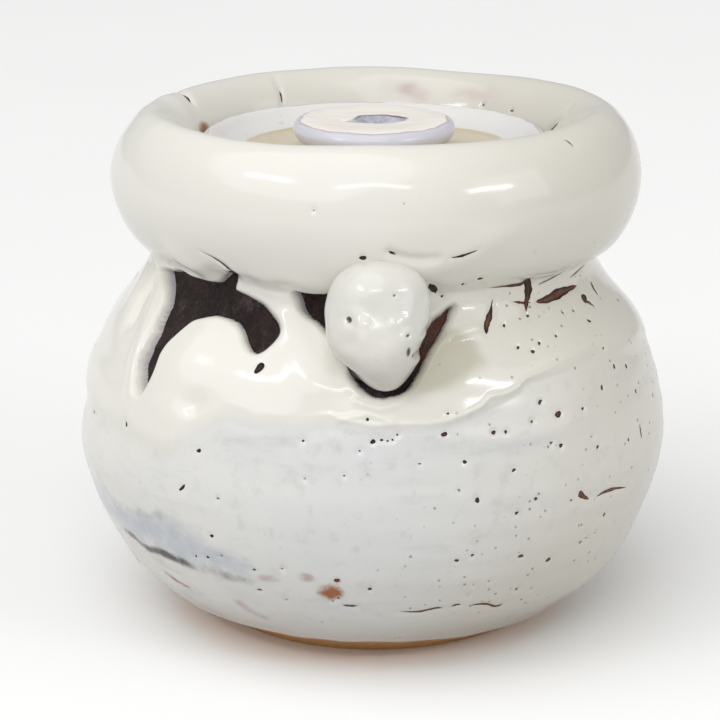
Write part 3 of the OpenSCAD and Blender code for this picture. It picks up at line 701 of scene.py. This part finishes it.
# Each height of the lug is an oval about its middle line, its two sides and its front of their own reach.
# Facing is 1 at the front and -1 at the back.
def makeLug(name, node, facing, seed, mat):
    rows, cols = lug["rows"], lug["columns"]
    table = softLine(lug["outline"], 8)
    along = np.r_[0, np.cumsum(np.linalg.norm(np.diff(table[:, :4:3], axis=0), axis=1))]
    even = np.linspace(0, along[-1], rows)
    z, left, right, front, shift = [np.interp(even, along, table[:, k])[:, None] for k in range(5)]
    sideways = lug["sideways"] if facing > 0 else 0.0
    if facing < 0:  # the one at the back hangs straight and is a little fuller
        left, right, shift = left + lug["fuller"], right + lug["fuller"], 0 * shift
    turn = np.linspace(-np.pi, np.pi, cols, endpoint=False)[None]
    wide = np.where(turn < 0, left, right)
    x, y = wide * np.sin(turn), -front * np.cos(turn)
    z = z + 0 * turn
    outer = wallS < wall["crest"]
    y = np.minimum(y, lug["out"] + lug["root"] - np.interp(z, wallRZ[outer, 1], wallRZ[outer, 0]))
    spot = np.stack([x, y, z], -1)
    swell = 1 + 0.035 * lumps(spot / 9, seed) + 0.012 * lumps(spot / 4, seed + 1)
    dip, pit = 0, 0 * z
    for side, up, deep, wideAt in lug["hollows"]:
        dip = dip + deep * np.exp(-((x - side) ** 2 + (z - up) ** 2) / wideAt ** 2) * ease(-y, -4, 0)
    if facing > 0:
        for side, up, halfWide, halfTall in lug["pits"]:
            off = np.hypot((x + sideways - side) / halfWide, (z - up) / halfTall) + 9 * (y > 0)
            dip = dip + 0.6 * np.exp(-(off / 1.7) ** 2)
            pit = np.maximum(pit, ease(off, 1.25, 0.75))
    reach = np.hypot(x, y)
    pull = swell - dip / np.maximum(reach, 3)
    grid = np.stack([sideways + shift + x * pull, y * pull - lug["out"], z], -1)
    ends = np.stack([grid[0].mean(0) - [0, 0, 0.5], grid[-1].mean(0) + [0, 0, 0.3]])
    points = np.vstack([grid.reshape(-1, 3), ends])
    if facing < 0:
        points = points * [-1, -1, 1]
    quads, tris = gridFaces(rows, cols, True, True)
    # low rises towards the lug's lower part, which its material darkens as painted shade
    fields = {"low": np.append(ease(z, 128, 104), [1.0, 0.0]), "pit": np.append(pit, [0.0, 0.0])}
    makePiece(name, "jar", points, quads, tris, mat, (node,), fields=fields)


# White, darker and warmer low down and in clouds, low down partly as painted shade under the lug's bulge and partly as
# warm smudges, with faint purple patches and dark pits
def lugFinish(name):
    mat, pen, spot = startMaterial(name)
    c = lug["colours"]
    cloud, fine = spot.noise(70, 4, 0.6), spot.noise(420, 3, 0.6)
    # painted shade: the lug's lower part, turned down from the light, is darker, with warm smudges
    colour = (pen.field("low") * 0.7 + (cloud - 0.5)).rise(0.0, 0.9).blend(c["white"], c["low"])
    colour = (spot.noise(120, 3, 0.7).rise(0.64, 0.8) * 0.35).blend(colour, c["blush"])
    colour = pen.field("pit").blend(colour, c["pit"])
    return endMaterial(mat, pen, colour, 0.11 + fine * 0.06, spot.noise(130, 1), 0.2, Specular_IOR_Level=0.5)


lugGlaze = lugFinish("lugGlaze")
makeLug("frontLugGlaze", "front_lug_glaze", 1, 31, lugGlaze)
makeLug("backLugGlaze", "back_lug_glaze", -1, 35, lugGlaze)
print("lugs made")

lid = {
    "line": [(57.5, 157.3), (57.5, 162), (55.5, 164), (50, 160.5), (42.5, 158.2), (20.8, 158.2)],  # radius, height
    "rows": 110, "columns": 300, "lump": 0.2, "seed": 41,
    "well": 45.0,                  # radius of the sunk middle
    "edge": 55.8, "crest": 162.5,  # radius of the worn edge, and the height above which it shows
    # well is partly glaze pooled round the knob and partly painted shade with the knob's painted shadow
    "colours": {"white": (0.75, 0.735, 0.72), "well": (0.60, 0.515, 0.345), "edge": (0.56, 0.43, 0.46),
                "speck": (0.45, 0.42, 0.45)},
}
knob = {
    "line": [(22, 158.2), (22, 159.4), (25.4, 161.55), (27, 165.2), (25, 168), (12, 168.1), (0.4, 168.1)],
    "rows": 130, "columns": 360, "lump": 0.22, "seed": 43, "tilt": 0.022,
    "hollow": [(-8.2, -2), (-5.5, 0.5), (-3.4, 6), (2.4, 7.5), (5.2, 5.5), (8.4, -0.5), (6.5, -4), (2, -8),
               (-3, -6.5), (-6, -5)],
    "deep": 2.0, "most": [(0, 2.2), (4.5, 2.2), (9, 0.95), (12, 0.8)],  # by radius, what the clay under it allows
    "edge": 24.6, "crest": 166.3,  # radius of the top's edge, and the height above which it counts as top
    "colours": {"side": (0.62, 0.615, 0.685), "top": (0.93, 0.88, 0.80), "edge": (0.55, 0.42, 0.45),
                # sheen is a painted sheen inside the hollow
                "hollow": (0.30, 0.29, 0.36), "sheen": (0.52, 0.52, 0.60), "lip": (0.16, 0.075, 0.10)},
}


# A line turned round the axis; lumps push it out along its own normal, less towards the middle
def turned(piece):
    path = softLine(piece["line"], 24)
    along = np.r_[0, np.cumsum(np.linalg.norm(np.diff(path, axis=0), axis=1))]
    even = np.linspace(0, along[-1], piece["rows"])
    path = np.stack([np.interp(even, along, path[:, k]) for k in (0, 1)], -1)
    slope = np.gradient(path, axis=0)
    out = np.stack([slope[:, 1], -slope[:, 0]], -1) / np.linalg.norm(slope, axis=1, keepdims=True)
    turn = np.linspace(-np.pi, np.pi, piece["columns"], endpoint=False)[None]
    r, z = path[:, :1], path[:, 1:]
    spot = np.stack([r * np.sin(turn), -r * np.cos(turn), z + 0 * turn], -1)
    push = piece["lump"] * lumps(spot / 14, piece["seed"]) * np.minimum(1, r / 8)
    r, z = r + out[:, :1] * push, z + out[:, 1:] * push
    return np.stack([r * np.sin(turn), -r * np.cos(turn), z + 0 * turn], -1)


# White with a darker honey-coloured well, partly glaze pooled round the knob and partly painted shade with the knob's
# painted shadow, a worn purplish edge and small specks
def lidFinish(name):
    mat, pen, spot = startMaterial(name)
    c = lid["colours"]
    cloud, fine = spot.noise(50, 4, 0.6), spot.noise(420, 3, 0.6)
    # painted shade and the knob's painted shadow darken the sunk well, besides the glaze pooled there
    colour = (pen.field("well") + (cloud - 0.5) * 0.25).rise(0.25, 0.75).blend(c["white"], c["well"])
    colour = (pen.field("rimEdge") * (0.35 + fine)).rise(0.3, 0.9).blend(colour, c["edge"])
    colour = (spot.noise(230, 3).rise(0.68, 0.76) * 0.4).blend(colour, c["speck"])
    return endMaterial(mat, pen, colour, 0.14 + fine * 0.05, spot.noise(120, 2), 0.2, Specular_IOR_Level=0.5)


# Bluish at the side and cream on top, purplish along the edge, grey in the hollow with lighter bluish patches of
# painted sheen, and dark at the hollow's lip
def knobFinish(name):
    mat, pen, spot = startMaterial(name)
    c = knob["colours"]
    cloud, fine = spot.noise(60, 4, 0.6), spot.noise(420, 3, 0.6)
    colour = (pen.field("top") + (cloud - 0.5) * 0.15).rise(0.3, 0.7).blend(c["side"], c["top"])
    colour = (pen.field("edge") * (0.55 + cloud * 0.6)).rise(0.3, 0.9).blend(colour, c["edge"])
    # painted sheen: lighter bluish patches in the hollow stand in for the gloss on its glaze
    sheen = (cloud * 0.6 + fine * 0.6).rise(0.4, 0.75).blend(c["hollow"], c["sheen"])
    colour = pen.field("hollow").rise(0.25, 0.75).blend(colour, sheen)
    colour = (pen.field("lip") * (0.5 + cloud * 0.7)).rise(0.35, 0.9).blend(colour, c["lip"])
    rough, height = 0.15 + fine * 0.07, spot.noise(150, 2) + fine * 0.4
    return endMaterial(mat, pen, colour, rough, height, 0.25, Specular_IOR_Level=0.5)


grid = turned(lid)
quads, tris = gridFaces(*grid.shape[:2])
r = np.hypot(grid[..., 0], grid[..., 1])
edgeAt = lid["edge"] + 0.5 * lumps(grid / 6, 42)
fields = {"well": ease(r + 0.8 * lumps(grid / 9, 46), lid["well"] + 1.6, lid["well"] - 1.2),
          "rimEdge": np.exp(-((r - edgeAt) / 0.7) ** 2) * (grid[..., 2] > lid["crest"])}
makePiece("lidGlaze", "lid", grid.reshape(-1, 3), quads, tris, lidFinish("lidGlaze"), ("lid_glaze",),
          fields=fields)

# The knob's top tilts a little, and the hollow's own outline sinks into it
grid = turned(knob)
x, y, z = np.moveaxis(grid, -1, 0).copy()
r = np.hypot(x, y)
upper = z > knob["crest"]
gap = lineGap(x / unroll, y, np.array(knob["hollow"]) / [unroll, 1], True, 12.0)
gap = np.where(upper, gap + 0.5 * lumps(grid / 3, 44), 12.0)
sunk = np.minimum(knob["deep"] * ease(gap, 0.6, -4.5), np.interp(r, *np.array(knob["most"]).T))
grid[..., 2] = z + knob["tilt"] * y * ease(z, 160, 168) - sunk
edgeAt = knob["edge"] + 0.7 * lumps(grid / 5, 45) + 0.25 * lumps(grid / 2, 47)
fields = {"top": ease(edgeAt - r, -0.3, 0.5) * upper,
          "edge": np.exp(-((r - edgeAt) / 0.6) ** 2) * upper,
          "hollow": ease(gap, 0.4, -1.4 - 2.2 * ease(-y, 0.0, 5.0)),
          "lip": np.exp(-((gap + 0.3) / 0.7) ** 2) * ease(y, -4.0, 2.0)}
points = np.vstack([grid.reshape(-1, 3), [[0, 0, grid[-1, :, 2].mean()]]])
quads, tris = gridFaces(*grid.shape[:2], False, True)
fields = {key: np.append(value, value[-1, 0]) for key, value in fields.items()}
makePiece("knobGlaze", "lid", points, quads, tris, knobFinish("knobGlaze"), ("knob_glaze",),
          fields=fields)
print("lid and knob made")

liningColour = {"white": (0.76, 0.75, 0.70), "cream": (0.82, 0.81, 0.75), "speck": (0.45, 0.36, 0.30)}


# Thin lining glaze inside: white and cream in clouds, with brown specks
def liningGlaze(name):
    mat, pen, spot = startMaterial(name)
    c = liningColour
    cloud, fine = spot.noise(40, 4, 0.6), spot.noise(420, 3, 0.6)
    colour = cloud.rise(0.3, 0.7).blend(c["white"], c["cream"])
    colour = (spot.noise(150, 2).rise(0.68, 0.75) * 0.4).blend(colour, c["speck"])
    return endMaterial(mat, pen, colour, 0.16 + fine * 0.06, spot.noise(120, 2), 0.2)


# The nodes that stay as the frame has them
nodeFinish = {
    "jar_wall": darkClay, "rolled_rim": darkClay, "lid_seat": darkClay, "front_lug": darkClay, "back_lug": darkClay,
    "foot_ring": bareClay("footClay", 40.0), "lid_plate": bareClay("lidClay", 400.0),
    "lid_knob": bareClay("knobClay", 400.0),
    "inner_glaze": liningGlaze("liningGlaze"),
}
for name, mat in nodeFinish.items():
    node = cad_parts[name]
    node.data.materials.clear()
    node.data.materials.append(mat)
print("clay finishes given")

# Pale floor, soft light and the camera
studio = {
    "floor": 6.0, "pale": (0.95, 0.95, 0.945), "paler": (0.965, 0.965, 0.96), "table": (0.65, 0.65, 0.65),
    "sky": 0.5, "sun": ((-0.68, -0.75, 1.35), 1.5, 75),  # place it shines from, strength, degrees across
    "lamps": [  # name, place, looks at, size, watts
        ("strip", (-0.1, -1.55, 1.22), (0, 0, 0.15), (1.0, 0.07), 2.4),
        ("leftWindow", (-1.3, -0.9, 1.25), (0, 0, 0.14), (0.55, 0.12), 2.2),
        ("window", (1.34, -1.11, 1.0), (0, 0, 0.12), (0.6, 0.1), 3.2),
        ("fill", (2.2, -1.0, 1.2), (0, 0, 0.1), (1.6, 1.4), 7.5),
    ],
}
mesh = bpy.data.meshes.new("floor")
half = studio["floor"]
mesh.from_pydata([(-half, -half, 0), (half, -half, 0), (half, half, 0), (-half, half, 0)], [], [(0, 1, 2, 3)])
mat, pen, spot = startMaterial("paleFloor")
shade = spot.noise(3, 3).rise(0.2, 0.8).blend(studio["pale"], studio["paler"])
rays = [pen.add("LightPath", {}, {}, kind) for kind in ("Is Camera Ray", "Is Glossy Ray", "Is Transmission Ray")]
seen = pen.maths("MAXIMUM", pen.maths("MAXIMUM", rays[0], rays[1]), rays[2])
shade = seen.blend(studio["table"], shade)  # white to the eye, a plain grey table for the light it throws back
mesh.materials.append(endMaterial(mat, pen, shade, 0.9, Specular_IOR_Level=0.1))
floor = bpy.data.objects.new("floor", mesh)
bpy.context.scene.collection.objects.link(floor)

world = bpy.data.worlds.new("softRoom")
bpy.context.scene.world = world
world.use_nodes = True
world.node_tree.nodes["Background"].inputs["Color"].default_value = (1, 1, 1, 1)
world.node_tree.nodes["Background"].inputs["Strength"].default_value = studio["sky"]


# Hangs a lamp in its place and turns it to its target: tipped by the way's slope, then turned by its bearing
def hang(lamp, place, target):
    holder = bpy.data.objects.new(lamp.name, lamp)
    bpy.context.scene.collection.objects.link(holder)
    x, y, z = np.array(target, float) - np.array(place, float)
    holder.location = place
    holder.rotation_euler = (math.atan2(math.hypot(x, y), -z), 0, math.atan2(y, x) - math.pi / 2)


place, strength, across = studio["sun"]
sun = bpy.data.lights.new("sun", "SUN")
sun.energy, sun.angle = strength, math.radians(across)
hang(sun, place, (0, 0, 0))
for name, place, target, size, watts in studio["lamps"]:
    lamp = bpy.data.lights.new(name, "AREA")
    lamp.shape, lamp.size, lamp.size_y, lamp.energy = "RECTANGLE", size[0], size[1], watts
    hang(lamp, place, target)

view = {"place": (0, -0.8, 0.3142), "down": 16.047, "lens": 121.0, "sensor": 36, "shift": -0.0194}
lens = bpy.data.cameras.new("view")
lens.lens, lens.sensor_width, lens.shift_x = view["lens"], view["sensor"], view["shift"]
camera = bpy.data.objects.new("view", lens)
camera.location = view["place"]
camera.rotation_euler = (math.radians(90 - view["down"]), 0, 0)
bpy.context.scene.collection.objects.link(camera)
bpy.context.scene.camera = camera
bpy.context.scene.view_settings.view_transform = "Standard"
print("studio set")
